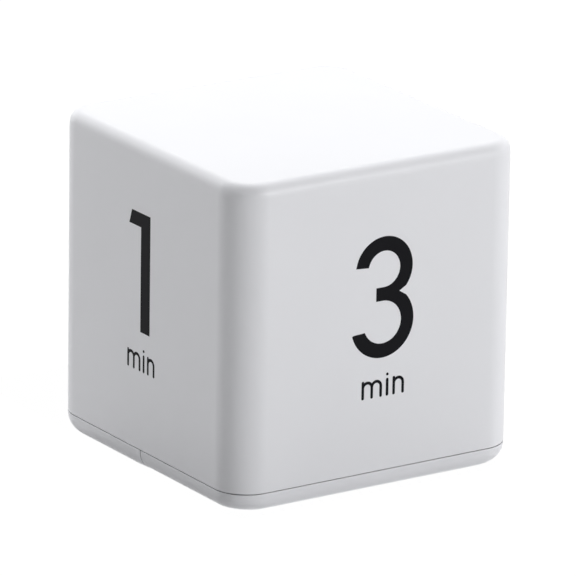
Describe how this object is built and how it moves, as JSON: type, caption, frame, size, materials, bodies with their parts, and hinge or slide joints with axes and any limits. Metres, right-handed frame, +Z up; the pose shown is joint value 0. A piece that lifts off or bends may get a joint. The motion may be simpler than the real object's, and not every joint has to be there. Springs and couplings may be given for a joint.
{
  "type": "cube timer",
  "caption": "White cube timer with printed minute marks on its sides, a blank face, and a display end with a slide switch and a sliding battery door.",
  "frame": {"origin": "centre of the footprint, on the plane of the display end that the timer stands on", "axes": "+Z up out of the blank face, -X out of the one minute face, -Y out of the three minute face; the battery door slides along +Y"},
  "size_m": [0.0636, 0.0636, 0.064],
  "materials": {
    "white_plastic": "fine satin, moulded",
    "clear_plastic": "clear, polished",
    "display_glass": "grey green, satin",
    "contact_rubber": "matte",
    "board_laminate": "satin solder mask",
    "black_plastic": "satin",
    "plated_steel": "nickel plated",
    "brass": "rolled",
    "ceramic": "silvered ceramic",
    "cell": "printed film",
    "red_insulation": "satin",
    "black_insulation": "satin"
  },
  "bodies": {
    "case": {"main_housing": "white_plastic", "display_cover": "white_plastic", "display_lens": "clear_plastic", "lcd_front_glass": "display_glass", "lcd_rear_glass": "display_glass", "zebra_strip": "contact_rubber", "circuit_board": "board_laminate", "control_chip": "black_plastic", "timing_crystal": "plated_steel", "filter_capacitor": "black_plastic", "chip_resistor_1": "black_plastic", "chip_resistor_2": "black_plastic", "chip_resistor_3": "black_plastic", "board_screw_front_left": "plated_steel", "board_screw_front_right": "plated_steel", "board_screw_rear_left": "plated_steel", "board_screw_rear_right": "plated_steel", "case_screw_left": "plated_steel", "case_screw_right": "plated_steel", "slide_switch_frame": "plated_steel", "slide_switch_base": "black_plastic", "tilt_can_a": "plated_steel", "tilt_base_a": "black_plastic", "tilt_can_b": "plated_steel", "tilt_base_b": "black_plastic", "sounder_plate": "brass", "sounder_ceramic": "ceramic", "battery_front": "cell", "battery_rear": "cell", "positive_contact": "plated_steel", "negative_contact": "plated_steel", "negative_spring": "plated_steel", "bridge_contact": "plated_steel", "bridge_spring": "plated_steel", "battery_lead_red": "red_insulation", "battery_lead_black": "black_insulation", "sounder_lead_red": "red_insulation", "sounder_lead_black": "black_insulation"},
    "door": {"battery_door": "white_plastic"},
    "switch": {"switch_knob": "black_plastic", "slide_switch_slider": "black_plastic"},
    "ball_a": {"tilt_ball_a": "plated_steel"},
    "ball_b": {"tilt_ball_b": "plated_steel"}
  },
  "joints": [
    {"name": "door_slide", "type": "slide", "parent": "case", "child": "door", "axis": [0, 1, 0], "range_m": [0, 0.033]},
    {"name": "switch_slide", "type": "slide", "parent": "case", "child": "switch", "axis": [1, 0, 0], "range_m": [0, 0.0025]},
    {"name": "ball_a_roll", "type": "slide", "parent": "case", "child": "ball_a", "axis": [0.7071, 0, 0.7071], "range_m": [0, 0.0028]},
    {"name": "ball_b_roll", "type": "slide", "parent": "case", "child": "ball_b", "axis": [0, 0.7071, 0.7071], "range_m": [0, 0.0028]}
  ]
}
